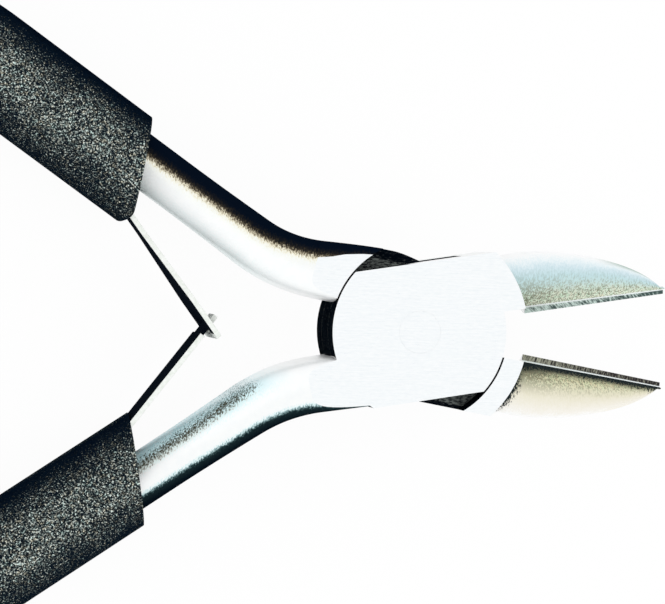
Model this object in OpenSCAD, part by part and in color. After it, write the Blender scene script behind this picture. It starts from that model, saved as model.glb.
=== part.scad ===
// Box-joint nippers with straight side-cutting jaws, two interlocking leaf springs
// and soft grips. Millimetres. The pivot axis is Z, the jaws point along +X and the
// flat rear face of the joint lies on z = 0. Each half is drawn as it stands when the
// jaws are shut, and is then turned about the pivot to the open angle.

/* [Pose] */
// Angle between the two halves as the tool lies open
open_angle = 19.5; // [6:0.5:24]

/* [Joint] */
// Thickness of the joint from ground face to ground face
joint_t = 8; // [7:0.1:10]
// Width of the joint band across the tool
joint_w = 13.6; // [13:0.1:15]
// Radius of the round ends of the cheeks and of the middle plate
cheek_r = 8.85; // [8.2:0.05:9.4]
// Thickness of each outer cheek
cheek_t = 2.4; // [1.8:0.1:2.8]
// Radius of the ground flats where they end on the jaws
flat_r = 11.1; // [10.4:0.1:11.4]
// Gap between a round cheek and the shoulder it turns in
shoulder_gap = 0.12; // [0.1:0.01:0.3]
// Gap between the faces of the cheeks and the middle plate
face_gap = 0.05; // [0.03:0.01:0.1]

/* [Pivot pin] */
// Radius of the pin
pin_r = 2.1; // [1.5:0.05:2.8]
// Running clearance around the pin in the middle plate
pin_run_gap = 0.03; // [0.02:0.01:0.08]
// Clearance around the pin in the two cheeks
pin_seat_gap = 0.01; // [0.005:0.005:0.02]

/* [Jaws] */
// Reach of the jaws from the pivot to the tip
jaw_l = 26.8; // [24:0.2:32]
// Depth of a jaw from its cutting edge to its back
jaw_h = 6.3; // [5.6:0.1:6.8]
// Distance from the pivot to where the back starts to curve down
belly_x = 12; // [11:0.5:15]
// Depth of the blunt tip
tip_h = 0.75; // [0.5:0.05:1.2]
// Thickness of the jaw at the tip
tip_t = 3.4; // [2.4:0.1:4.4]
// Height of the cutting edge above the rear face
edge_z = 3; // [2.4:0.1:3.4]
// Distance from the pivot to the start of the cutting edge
edge_x = 12.2; // [11.8:0.1:13]
// Gap that each jaw root keeps from the middle when shut
root_gap = 0.8; // [0.5:0.05:1.2]
// Gap that each cutting edge keeps from the middle when shut
edge_gap = 0.02; // [0.01:0.01:0.05]
// Width of the sharpened bevel at the joint end
bevel_w = 0.8; // [0.5:0.05:1.1]
// Width of the sharpened bevel at the tip
bevel_tip_w = 0.42; // [0.3:0.02:0.5]
// Height that the bevel climbs over its width at the joint end
bevel_rise = 0.6; // [0.3:0.05:0.9]
// Step from the ground flats down to the crown of the jaws
crown_drop = 0.35; // [0.2:0.05:0.8]

/* [Handles] */
// Width of a handle where it leaves the joint
root_w = 5.5; // [5.2:0.1:6]
// How far the neck half swells past that width on its outer side
neck_swell = 0.8; // [0.4:0.1:1]
// Width of a handle under its grip
handle_w = 5.1; // [4.4:0.1:5.6]
// Thickness of a handle under its grip
handle_t = 5.8; // [4.8:0.1:6.4]
// Thickness of the forged blank at the joint, before its faces are ground
forged_t = 9.6; // [8.8:0.1:10.4]
// Gap that each handle keeps from the middle when shut
handle_gap = 1.15; // [0.8:0.05:1.5]
// Distance from the pivot to where the handles start to spread
bend_x = 10.6; // [10:0.1:13]
// Radius of that bend on the middle line of a handle
bend_r = 17; // [13:0.5:24]
// Angle at which the handles spread
splay = 24.5; // [20:0.5:27]
// Distance from the pivot to where the handles start to bow back
bow_x = 46; // [42:1:52]
// Radius of the bow on the middle line of a handle
bow_r = 50; // [40:1:70]
// Angle at which the handle ends lean in
lean_in = 7; // [0:1:12]
// Distance from the pivot to the handle ends
handle_l = 103; // [94:1:120]

/* [Grips] */
// Width of a grip across the tool
grip_w = 10.2; // [9.8:0.1:12]
// Thickness of a grip
grip_t = 10.6; // [10:0.1:12]
// Distance from the pivot to the flat mouth of a grip
grip_x = 29.9; // [27:0.1:32]
// Shift of a grip towards the middle, over its spring
grip_shift = 1.15; // [1:0.05:1.4]
// Length of foam past the end of a handle
grip_end = 3.2; // [2.4:0.1:5]
// Clearance between a handle and the bore of its grip
grip_fit = 0.05; // [0.02:0.01:0.1]

/* [Springs] */
// Thickness of the spring leaves
leaf_t = 0.5; // [0.4:0.05:0.6]
// Width of the hooked leaf
hook_w = 5.2; // [5:0.1:6]
// Width of the slotted leaf along its stem
stem_w = 3.2; // [2.8:0.1:4]
// Width of the flared head of the slotted leaf
flare_w = 7.6; // [6.6:0.1:7.8]
// Width of the round pad of the slotted leaf at its screw
pad_w = 4.4; // [4:0.1:5]
// Width of the tongue that passes through the slot
tongue_w = 3; // [2.4:0.1:3.6]
// Length of the tongue past the crossing
tongue_l = 1.2; // [0.8:0.1:1.6]
// Length of the slot along its leaf
slot_l = 1.8; // [1.7:0.1:2.4]
// Clearance beside the tongue in the slot
slot_gap = 0.3; // [0.2:0.05:0.5]
// Metal left past the slot at the tip of the leaf
slot_bridge = 0.5; // [0.4:0.1:1.4]
// Distance from the pivot to where the leaves cross
cross_x = 20.85; // [19:0.2:23]
// Distance from the mouth of a grip back to its spring screw
screw_in = 3.2; // [3:0.1:6]
// Angle between a handle and the seat milled for its leaf
seat_angle = 12; // [8:0.5:14]
// Height of the leaf's middle over its seat
seat_lift = 0.7; // [0.6:0.05:0.9]
// Length of a leaf behind its screw
leaf_tail = 2.4; // [2:0.1:3]
// Radius of the spring screws
screw_r = 0.8; // [0.6:0.05:0.9]
// Depth of the spring screws in the handles
screw_l = 3; // [2:0.1:3.4]
// Radius of the screw heads
head_r = 1.35; // [1.25:0.05:1.6]
// Height of the screw heads
head_h = 0.7; // [0.5:0.05:0.8]
// Clearance around a spring screw in the hole of its leaf
screw_gap = 0.35; // [0.3:0.01:0.45]
// Clearance between a leaf and the head of its screw
head_gap = 0.25; // [0.2:0.01:0.3]

/* [Hidden] */
$fn = 96;

// Overrun of every cut past the face it opens
over = 1;
mid_z = joint_t / 2;
shoulder_r = cheek_r + shoulder_gap;
half_open = open_angle / 2;

// Handle: the middle line starts inside the joint and its legs are [length, turn per mm]
start_x = -cheek_r / 6;
// Length along the middle line at which the swelling of the neck half is full
swell_s = bend_x / 2;
deg = 180 / PI;
root_y = handle_gap + root_w / 2;
splay_x = bend_x + bend_r * sin(splay);
splay_l = (bow_x - splay_x) / cos(splay);
bow_end_x = bow_x + bow_r * (sin(splay) + sin(lean_in));
legs = [[bend_x - start_x, 0],
        [bend_r * splay / deg, deg / bend_r],
        [splay_l, 0],
        [bow_r * (splay + lean_in) / deg, -deg / bow_r],
        [(handle_l - bow_end_x) / cos(lean_in), 0]];
splay_s = legs[0][0] + legs[1][0];
handle_s = splay_s + legs[2][0] + legs[3][0] + legs[4][0];
mouth_s = splay_s + (grip_x - splay_x) / cos(splay);
// Rings along the bare part of a handle and along the part under its grip
bare_rings = 20;
grip_rings = 16;
handle_sides = 24;
grip_sides = 28;
// Share of the way to the grip over which a handle settles to its grip section
settle_share = 0.9;
// Squareness of a handle's section at the joint and under the grip, and of the foam's
root_square_share = 12;
grip_square_share = 2.4;
foam_square_share = 2.15;
// The domed end of a grip stops short of a point
dome_steps = 5;
dome_angle = 85;

// Jaws: sections along the jaw, and steps round the front and the back of a section
jaw_steps = 16;
front_steps = 8;
back_steps = 5;
// How full the curve of the back is, and how hollow the front of a section is
back_curve_share = 1.6;
front_curve_share = 1.45;
// Where a section has its crown, the middle of its back and the end of its flat rear
crown_share = 0.62;
side_share = 0.55;
heel_share = 0.1;
// Least distance from the edge to the crown, in bevels
least_crown_share = 1.2;
// How much of the taper in thickness comes as an even slope
slope_share = 0.6;

// Springs: the leaf turns about its screw, here with y away from the middle of the tool
lift = handle_w / 2 + seat_lift;
screw_s = mouth_s + screw_in / cos(splay);
hook_up = offset_point(along(screw_s), -lift);
hinge = turn(hook_up, -half_open);
reach = norm([hinge[0] + cross_x, hinge[1]]);
leaf_angle = -atan2(hinge[1], -cross_x - hinge[0]);
seat_dir = -splay - seat_angle - half_open;
slot_from = reach - slot_l / 2;
hole_r = screw_r + screw_gap;
head_z = leaf_t / 2 + head_gap;
// Where the slotted leaf starts to flare and where its head is full, as shares of its reach
flare_share = 0.42;
head_share = 0.84;
grip_slot_w = hook_w + 2 * slot_gap;
grip_slot_h = head_z + head_h + slot_gap;

// A point turned about the pivot
function turn(p, a) = [p[0] * cos(a) - p[1] * sin(a), p[0] * sin(a) + p[1] * cos(a)];
function blend(a, b, t) = a + (b - a) * t;
function ease(t) = let (u = min(1, max(0, t))) u * u * (3 - 2 * u);

// One leg further along the middle line, from [x, y, heading], turning k degrees a mm
function advance(p, l, k) =
    k == 0 ? [p[0] - l * cos(p[2]), p[1] + l * sin(p[2]), p[2]]
           : let (a = p[2] + k * l, r = deg / k)
             [p[0] - r * (sin(a) - sin(p[2])), p[1] - r * (cos(a) - cos(p[2])), a];
function walk(p, s, i) =
    i == len(legs) - 1 || s <= legs[i][0] ? advance(p, s, legs[i][1])
    : walk(advance(p, legs[i][0], legs[i][1]), s - legs[i][0], i + 1);
// The middle line of a handle at the length s, as [x, y, heading]
function along(s) = walk([-start_x, root_y, 0], s, 0);
function offset_point(p, d) = [p[0] + d * sin(p[2]), p[1] + d * cos(p[2])];

// A rounded section across the middle line, d off it, with half sizes w and t
function ring(s, w, t, square, sides, d) =
    let (p = along(s), e = 2 / square)
    [for (i = [0 : sides - 1])
        let (a = 360 * (i + 0.5) / sides, c = cos(a), h = sin(a),
             q = offset_point(p, d + w * sign(c) * pow(abs(c), e)))
        [q[0], q[1], mid_z + t * sign(h) * pow(abs(h), e)]];

// A section of a handle. A swelling is full at swell_s and gone where the bend ends
function handle_ring(s, grow, swell) =
    let (t = ease(s / (mouth_s * settle_share)),
         out = swell / 2 * ease(s / swell_s) * (1 - ease((s - swell_s) / (splay_s - swell_s))))
    ring(s, blend(root_w, handle_w, t) / 2 + grow + out, blend(forged_t, handle_t, t) / 2 + grow,
         blend(root_square_share, grip_square_share, sqrt(t)), handle_sides, out);

// Skin over a stack of rings that have the same number of points
module loft(rings) {
    n = len(rings[0]);
    last = (len(rings) - 1) * n;
    sides = [for (k = [0 : len(rings) - 2]) for (j = [0 : n - 1])
        let (a = k * n + j, b = k * n + (j + 1) % n) each [[a, b, b + n], [a, b + n, a + n]]];
    polyhedron(
        points = [for (r = rings) each r],
        faces = concat([[for (j = [0 : n - 1]) n - 1 - j]], sides,
                       [[for (j = [0 : n - 1]) last + j]]));
}

// A handle as forged, or grown and lengthened for the bore of its grip
module handle(grow = 0, extra = 0, swell = 0) {
    bare = [for (i = [0 : bare_rings - 1]) mouth_s * i / bare_rings];
    held = [for (i = [0 : grip_rings]) blend(mouth_s, handle_s + extra, i / grip_rings)];
    loft([for (s = concat(bare, held)) handle_ring(s, grow, swell)]);
}

// Depth of the jaw behind its edge at the distance x from the pivot
function jaw_depth(x) =
    let (u = max(0, (x - belly_x) / (jaw_l - belly_x)), c = back_curve_share)
    max(tip_h, jaw_h * pow(max(0, 1 - pow(u, c)), 1 / c));

// One section of a jaw: edge, bevel, hollow front, rounded back and flat rear
function jaw_ring(x) =
    let (out = max(0, (x - cheek_r) / (jaw_l - cheek_r)),
         t = blend(ease(out), out, slope_share),
         h = jaw_depth(x),
         low = blend(0, mid_z - tip_t / 2, t),
         top = blend(joint_t - crown_drop, mid_z + tip_t / 2, t),
         side = blend(low, top, side_share),
         bevel = blend(bevel_w, bevel_tip_w, t),
         bevel_top = edge_z + bevel_rise * bevel / bevel_w,
         crown = max(bevel * least_crown_share, h * crown_share),
         e = 2 / front_curve_share)
    concat(
        [[x, h * heel_share, low], [x, edge_gap, edge_z]],
        [for (i = [0 : front_steps]) let (a = 90 * i / front_steps)
            [x, blend(crown, bevel, pow(cos(a), e)), blend(bevel_top, top, pow(sin(a), e))]],
        [for (i = [1 : back_steps]) let (a = 90 * i / back_steps)
            [x, blend(crown, h, sin(a)), blend(side, top, cos(a))]],
        [for (i = [1 : back_steps]) let (a = 90 * i / back_steps)
            [x, blend(crown, h, cos(a)), blend(side, low, sin(a))]]);

// Stations close up towards the tip, where the back curves most
module jaw() {
    loft([for (i = [0 : jaw_steps]) let (u = i / jaw_steps)
        jaw_ring(cheek_r - over + (jaw_l - cheek_r + over) * sin(90 * u))]);
}

// The joint band between the ground faces, as a flat outline
module band(r) {
    intersection() {
        circle(r);
        square([2 * r, joint_w], center = true);
    }
}

// What both halves share: handle to -X -Y, jaw to +X +Y, ground to the joint's thickness
module blank(swell = 0) {
    difference() {
        intersection() {
            union() {
                mirror([0, 1, 0]) handle(swell = swell);
                jaw();
            }
            translate([-handle_l - over, -handle_l, 0])
                cube([handle_l + jaw_l + 2 * over, 2 * handle_l, joint_t]);
        }
        translate([cheek_r - 2 * over, -over, -over])
            cube([edge_x - cheek_r + 2 * over, over + root_gap, joint_t + 2 * over]);
    }
    linear_extrude(joint_t) intersection() {
        band(flat_r);
        translate([0, root_gap]) square([flat_r, joint_w]);
    }
}

// Frame at a spring screw in the open tool: +X along the leaf seat, +Y away from the
// handle, on the side of the tool where y is negative
module at_seat() {
    mirror([0, 1, 0]) translate([hinge[0], hinge[1], mid_z]) rotate([0, 0, seat_dir])
        mirror([0, 1, 0]) children();
}

// The same frame for a half drawn shut
module at_shut_seat() {
    rotate([0, 0, -half_open]) at_seat() children();
}

// Pocket for the leaf and hole for its screw
module spring_seat() {
    at_shut_seat() {
        translate([-leaf_tail - over / 2, -seat_lift, -grip_slot_w / 2])
            cube([2 * (leaf_tail + over), handle_w, grip_slot_w]);
        rotate([90, 0, 0])
            cylinder(r = screw_r + pin_seat_gap, h = seat_lift + screw_l + pin_seat_gap);
    }
}

module box_half() {
    color("silver") rotate([0, 0, half_open]) difference() {
        union() {
            blank();
            linear_extrude(joint_t) band(cheek_r);
        }
        translate([0, 0, cheek_t]) cylinder(r = shoulder_r, h = joint_t - 2 * cheek_t);
        translate([0, 0, -over]) cylinder(r = pin_r + pin_seat_gap, h = joint_t + 2 * over);
        spring_seat();
    }
}

module neck_half() {
    lap = cheek_t + face_gap;
    color("silver") rotate([0, 0, -half_open]) mirror([0, 1, 0]) difference() {
        union() {
            blank(neck_swell);
            translate([0, 0, lap]) linear_extrude(joint_t - 2 * lap) band(cheek_r);
        }
        for (z = [-over, joint_t - lap]) translate([0, 0, z])
            cylinder(r = shoulder_r, h = lap + over);
        translate([0, 0, -over]) cylinder(r = pin_r + pin_run_gap, h = joint_t + 2 * over);
        spring_seat();
    }
}

module pivot_pin() {
    color("gainsboro") cylinder(r = pin_r, h = joint_t);
}

// A leaf from its outline: along the leaf by across the tool
module plate() {
    rotate([90, 0, 0]) translate([0, 0, -leaf_t / 2]) linear_extrude(leaf_t) children();
}

module at_leaf() {
    mirror([0, 1, 0]) translate([hinge[0], hinge[1], mid_z]) rotate([0, 0, leaf_angle]) children();
}

module slotted_spring() {
    far = reach + slot_l / 2 + slot_bridge;
    edge = [[-pad_w / 4, stem_w / 2],
            [reach * flare_share, stem_w / 2],
            [reach * head_share, flare_w / 2],
            [far - slot_bridge, flare_w / 2],
            [far, flare_w / 2 - slot_bridge]];
    back = [for (i = [len(edge) - 1 : -1 : 0]) [edge[i][0], -edge[i][1]]];
    color("lightsteelblue") mirror([0, 1, 0]) at_leaf() difference() {
        union() {
            plate() polygon(concat(edge, back));
            rotate([90, 0, 0]) cylinder(d = pad_w, h = leaf_t, center = true);
        }
        translate([slot_from, -over, -tongue_w / 2 - slot_gap])
            cube([slot_l, 2 * over, tongue_w + 2 * slot_gap]);
        rotate([90, 0, 0]) cylinder(r = hole_r, h = 2 * over, center = true);
    }
}

module hooked_spring() {
    neck = slot_from - slot_bridge / 2;
    color("lightsteelblue") at_leaf() difference() {
        plate() {
            translate([-leaf_tail, -hook_w / 2]) square([leaf_tail + neck, hook_w]);
            translate([neck - over, -tongue_w / 2]) square([over + reach - neck + tongue_l, tongue_w]);
        }
        rotate([90, 0, 0]) cylinder(r = hole_r, h = 2 * over, center = true);
    }
}

module spring_screw() {
    slot_w = head_r / 3;
    at_seat() rotate([-90, 0, 0]) difference() {
        union() {
            translate([0, 0, -seat_lift - screw_l]) cylinder(r = screw_r, h = seat_lift + screw_l + head_z);
            translate([0, 0, head_z]) cylinder(r = head_r, h = head_h);
        }
        translate([-head_r - over, -slot_w / 2, head_z + head_h / 2])
            cube([2 * (head_r + over), slot_w, head_h]);
    }
}

module box_spring_screw() {
    color("dimgray") spring_screw();
}

module neck_spring_screw() {
    color("dimgray") mirror([0, 1, 0]) spring_screw();
}

// Foam grip with a domed end, cut flat at its mouth, bored for the handle and its spring
module grip() {
    foam_s = handle_s + grip_end - grip_w / 2;
    straight = [for (i = [0 : grip_rings])
        [blend(mouth_s - grip_w / 2, foam_s, i / grip_rings), 1]];
    dome = [for (i = [1 : dome_steps]) let (a = dome_angle * i / dome_steps)
        [foam_s + grip_w / 2 * sin(a), cos(a)]];
    rotate([0, 0, half_open]) difference() {
        mirror([0, 1, 0]) loft([for (r = concat(straight, dome))
            ring(r[0], grip_w / 2 * r[1], grip_t / 2 * r[1], foam_square_share, grip_sides, -grip_shift)]);
        mirror([0, 1, 0]) handle(grip_fit, grip_fit);
        translate([-grip_x, -handle_l, -grip_t]) cube([grip_x, 2 * handle_l, 3 * grip_t]);
        at_shut_seat() translate([-leaf_tail - over, -handle_w / 2, -grip_slot_w / 2]) {
            cube([leaf_tail + screw_in * 3, handle_w / 2 + grip_slot_h, grip_slot_w]);
            translate([leaf_tail + over + screw_in / 2, 0, 0])
                cube([screw_in * 2, grip_w, grip_slot_w]);
        }
    }
}

module box_grip() {
    color("dimgray") grip();
}

module neck_grip() {
    color("dimgray") mirror([0, 1, 0]) grip();
}

box_half();
neck_half();
pivot_pin();
slotted_spring();
hooked_spring();
box_spring_screw();
neck_spring_screw();
box_grip();
neck_grip();
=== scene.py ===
import math

import bpy
import numpy as np
from mathutils import Matrix, Vector

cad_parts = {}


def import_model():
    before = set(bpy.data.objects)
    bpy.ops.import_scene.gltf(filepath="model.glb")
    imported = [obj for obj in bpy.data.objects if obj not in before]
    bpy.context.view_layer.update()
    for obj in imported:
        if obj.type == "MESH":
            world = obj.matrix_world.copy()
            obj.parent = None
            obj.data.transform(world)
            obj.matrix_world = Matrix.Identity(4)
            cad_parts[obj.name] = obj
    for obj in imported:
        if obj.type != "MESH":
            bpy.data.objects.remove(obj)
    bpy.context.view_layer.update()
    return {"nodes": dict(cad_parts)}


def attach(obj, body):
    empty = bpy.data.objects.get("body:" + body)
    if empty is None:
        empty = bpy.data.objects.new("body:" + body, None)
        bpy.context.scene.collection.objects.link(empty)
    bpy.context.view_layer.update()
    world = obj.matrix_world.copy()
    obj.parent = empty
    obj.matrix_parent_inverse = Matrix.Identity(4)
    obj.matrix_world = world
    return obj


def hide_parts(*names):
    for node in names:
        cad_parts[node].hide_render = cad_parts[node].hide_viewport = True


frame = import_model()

# Looks of a pair of box-joint nippers. The two forged halves and the two foam grips are built again
# with finer facets, and the springs, the screws and the pin keep the shapes of the frame.

# Lengths below are in millimetres, as the tool is drawn, and MM turns them into metres
MM = 0.001
# Seats and coincident faces are cut with this much to spare
OVER = 1

# Joint
OPEN_ANGLE = 19.5
JOINT_T = 8
JOINT_W = 13.6
CHEEK_R = 8.85
CHEEK_T = 2.4
FLAT_R = 11.1
SHOULDER_GAP = 0.12
SEAT_GAP = 0.19
FACE_GAP = 0.05
PIN_R = 2.1
PIN_GAP = 0.003

# Jaws
JAW_L = 26.8
JAW_H = 6.3
BELLY_X = 12
TIP_H = 0.75
TIP_T = 3.4
EDGE_Z = 3
EDGE_TIP_Z = 4.1
TIP_LEAN = 0.18
EDGE_X = 12.2
ROOT_GAP = 0.8
EDGE_GAP = 0.02
BEVEL_W = 0.8
BEVEL_TIP_W = 0.52
BEVEL_RISE = 0.6
CROWN_DROP = 0.35

# Handles
ROOT_W = 5.5
NECK_SWELL = 0.8
HANDLE_W = 5.1
HANDLE_T = 5.8
FORGED_T = 9.6
HANDLE_GAP = 1.15
START_X = -CHEEK_R / 6
BEND_X = 10.6
SWELL_S = BEND_X / 2
BEND_R = 17
SPLAY = 24.5
BOW_X = 46
BOW_R = 50
LEAN_IN = 7
HANDLE_L = 103

# Grips
GRIP_W = 10.2
GRIP_T = 10.6
GRIP_X = 29.9
GRIP_SHIFT = 1.15
GRIP_END = 3.2
CORNER_R = 1.15
MOUTH_RUN = 10
MOUTH_LEAN = 0.06
# How far each foam mouth lies back from where the grip's mouth is drawn
BOX_MOUTH_BACK = -0.45
NECK_MOUTH_BACK = 0.1
# Clearance between a handle and the bore of its foam
BORE_FIT = 0.03

# Springs
# Distance from the pivot to where the leaves cross
CROSS_X = 20.85

# Shares and exponents of the same outlines
SETTLE = 0.9
ROOT_SQUARE = 12
GRIP_SQUARE = 2.4
FOAM_SQUARE = 2.15
CROWN = 0.62
BACK_CURVE = 1.6
FRONT_CURVE = 1.45
SIDE = 0.55
HEEL = 0.1
SLOPE = 0.6
BEVEL_CROWN = 1.2

# How finely the curved shapes are drawn
CIRCLE_STEPS = 192
BAND_STEPS = 720
JAW_STEPS = 60
JAW_FRONT_STEPS = 20
JAW_BACK_STEPS = 14
HANDLE_SIDES = 64
HANDLE_STEPS = 70
GRIPPED_STEPS = 20
GRIP_SIDES = 96
GRIP_STEPS = 90
DOME_STEPS = 14
CORNER_STEPS = 12
CORNER_CUT_STEPS = 40
LINE_STEPS = 900
# Where the dome of a grip stops short of its pole, in degrees
DOME_END = 85
# Angles past which an edge is drawn sharp
STEEL_SHARP = 24
FOAM_SHARP = 40
SAME_POINT = 1e-6
STRAIGHT = 1e-9

MID_Z = JOINT_T / 2
HALF_OPEN = OPEN_ANGLE / 2


def sin(a):
    return math.sin(math.radians(a))


def cos(a):
    return math.cos(math.radians(a))


def mix(a, b, t):
    return a + (b - a) * t


def clamp(value):
    return min(1.0, max(0.0, value))


def ease(t):
    u = clamp(t)
    return u * u * (3 - 2 * u)


def turn(p, a):
    return [p[0] * cos(a) - p[1] * sin(a), p[0] * sin(a) + p[1] * cos(a)]


# The middle line of a handle drawn shut, as legs of a length and a turn per millimetre
ROOT_Y = HANDLE_GAP + ROOT_W / 2
SPLAY_X = BEND_X + BEND_R * sin(SPLAY)
BOW_END_X = BOW_X + BOW_R * (sin(SPLAY) + sin(LEAN_IN))
LEGS = [
    (BEND_X - START_X, 0),
    (BEND_R * math.radians(SPLAY), 1 / BEND_R),
    ((BOW_X - SPLAY_X) / cos(SPLAY), 0),
    (BOW_R * math.radians(SPLAY + LEAN_IN), -1 / BOW_R),
    ((HANDLE_L - BOW_END_X) / cos(LEAN_IN), 0),
]
SPLAY_S = LEGS[0][0] + LEGS[1][0]
HANDLE_S = sum(leg[0] for leg in LEGS)
MOUTH_S = SPLAY_S + (GRIP_X - SPLAY_X) / cos(SPLAY)


def along(s):
    """The middle line at the length s, as x, y and heading in degrees."""
    x, y, heading = -START_X, ROOT_Y, 0.0
    for i, (length, curve) in enumerate(LEGS):
        step = s if i == len(LEGS) - 1 or s <= length else length
        if curve == 0:
            x, y = x - step * cos(heading), y + step * sin(heading)
        else:
            after = heading + math.degrees(curve * step)
            x -= (sin(after) - sin(heading)) / curve
            y -= (cos(after) - cos(heading)) / curve
            heading = after
        if step == s:
            break
        s -= step
    return x, y, heading


def offset_point(p, d):
    return p[0] + d * sin(p[2]), p[1] + d * cos(p[2])


def ring(s, w, t, square, sides, d=0.0):
    """A rounded section across the middle line, d off it, with half sizes w and t."""
    p = along(s)
    points = []
    for i in range(sides):
        a = 360 * (i + 0.5) / sides
        across = math.copysign(abs(cos(a)) ** (2 / square), cos(a)) * w
        up = math.copysign(abs(sin(a)) ** (2 / square), sin(a)) * t
        x, y = offset_point(p, d + across)
        points.append((x, y, MID_Z + up))
    return points


# Meshes

def mesh_object(name, points, faces, slots=()):
    mesh = bpy.data.meshes.new(name)
    mesh.from_pydata([[c * MM for c in p] for p in points], [], faces)
    mesh.validate()
    for finish in slots:
        mesh.materials.append(finish)
    made = bpy.data.objects.new(name, mesh)
    bpy.context.scene.collection.objects.link(made)
    return made


def loft(name, rings, slots=(), slot_of=None):
    """A skin over rings that have the same number of points. slot_of names a side's material."""
    n = len(rings[0])
    faces = [tuple(range(n))]
    kinds = [0]
    for k in range(len(rings) - 1):
        for j in range(n):
            a, b = k * n + j, k * n + (j + 1) % n
            faces.append((a, a + n, b + n, b))
            kinds.append(slot_of(j) if slot_of else 0)
    last = (len(rings) - 1) * n
    faces.append(tuple(last + n - 1 - j for j in range(n)))
    kinds.append(0)
    made = mesh_object(name, [p for r in rings for p in r], faces, slots)
    made.data.polygons.foreach_set("material_index", kinds)
    return made


def prism(name, outline, low, high, slots=(), side_slot=0, end_slot=0):
    """An outline drawn up from the height low to the height high."""
    n = len(outline)
    points = [(x, y, low) for x, y in outline] + [(x, y, high) for x, y in outline]
    faces = [tuple(range(n - 1, -1, -1)), tuple(range(n, 2 * n))]
    faces += [(j, (j + 1) % n, n + (j + 1) % n, n + j) for j in range(n)]
    made = mesh_object(name, points, faces, slots)
    made.data.polygons.foreach_set("material_index", [end_slot] * 2 + [side_slot] * n)
    return made


def circle(r, steps=CIRCLE_STEPS):
    return [turn((r, 0), 360 * i / steps) for i in range(steps)]


def band(r, low_y=-JOINT_W / 2, high_y=JOINT_W / 2, low_x=None):
    """The joint band as an outline: a disc cut straight at its sides."""
    points = []
    for x, y in circle(r, BAND_STEPS):
        x = x if low_x is None else max(x, low_x)
        points.append((x, min(high_y, max(low_y, y))))
    kept = [p for i, p in enumerate(points) if math.dist(p, points[i - 1]) > SAME_POINT]
    straight = []
    for i, p in enumerate(kept):
        a, b = kept[i - 1], kept[(i + 1) % len(kept)]
        area = (p[0] - a[0]) * (b[1] - a[1]) - (p[1] - a[1]) * (b[0] - a[0])
        if abs(area) > STRAIGHT:
            straight.append(p)
    return straight


def box_outline(x0, y0, x1, y1):
    return [(x0, y0), (x1, y0), (x1, y1), (x0, y1)]


def combine(target, other, operation):
    """Adds, cuts or keeps what is shared, and takes the other mesh away."""
    step = target.modifiers.new(operation, "BOOLEAN")
    step.operation = operation
    step.solver = "MANIFOLD"
    step.object = other
    bpy.context.view_layer.update()
    depsgraph = bpy.context.evaluated_depsgraph_get()
    result = bpy.data.meshes.new_from_object(target.evaluated_get(depsgraph))
    target.modifiers.clear()
    target.data = result
    bpy.data.objects.remove(other)
    return target


def smooth_by_angle(made, angle=STEEL_SHARP):
    """Smooth faces, with sharp edges where the surface turns or the finish changes."""
    mesh = made.data
    mesh.polygons.foreach_set("use_smooth", [True] * len(mesh.polygons))
    around = {}
    for p in mesh.polygons:
        for key in p.edge_keys:
            around.setdefault(key, []).append(p)
    limit = cos(angle)
    for e in mesh.edges:
        faces = around.get(e.key, [])
        if len(faces) != 2:
            continue
        a, b = faces
        turned = a.normal.dot(b.normal) < limit
        e.use_edge_sharp = turned or a.material_index != b.material_index
    return made


def place(made, angle=0.0, mirrored=False):
    """Turns a half about the pivot to where it lies in the open tool."""
    matrix = Matrix.Rotation(math.radians(angle), 4, "Z")
    if mirrored:
        matrix = matrix @ Matrix.Scale(-1, 4, (0, 1, 0))
    made.data.transform(matrix)
    if mirrored:
        made.data.flip_normals()
    return made


# Materials

# Cells per millimetre of each grain, along X, Y and Z
GROUND_LINES = (0.3, 8, 8)
GROUND_SPECKS = (1.5, 5, 5)
JAW_STROKES = (7, 2.2, 5)
JAW_CLOUD = (0.9, 0.6, 0.9)
JAW_HUES = (4, 1.3, 2)
HANDLE_GRAIN = (8, 3.6, 6)
HANDLE_CLOUD = (1.2, 1.2, 1.2)
DARK_GRAIN = (2.5, 6, 5)
SPRING_GRAIN = (3, 3, 8)
SCREW_GRAIN = (4, 4, 4)
FOAM_GRAIN = 6
FOAM_PORES = 3.6
FOAM_PATCHES = 0.3
FOAM_HUES = 2.6

WHITE = (1, 1, 1, 1)
NOISE_MIDDLE = 0.5
# Where a new stop goes before it gets its own position
HALFWAY = 0.5
# Sockets of a colour mix: its share, its two colours and its result
MIX_SHARE, MIX_A, MIX_B, MIX_RESULT = 0, 6, 7, 2
EDGE_SAMPLES = 6


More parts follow.
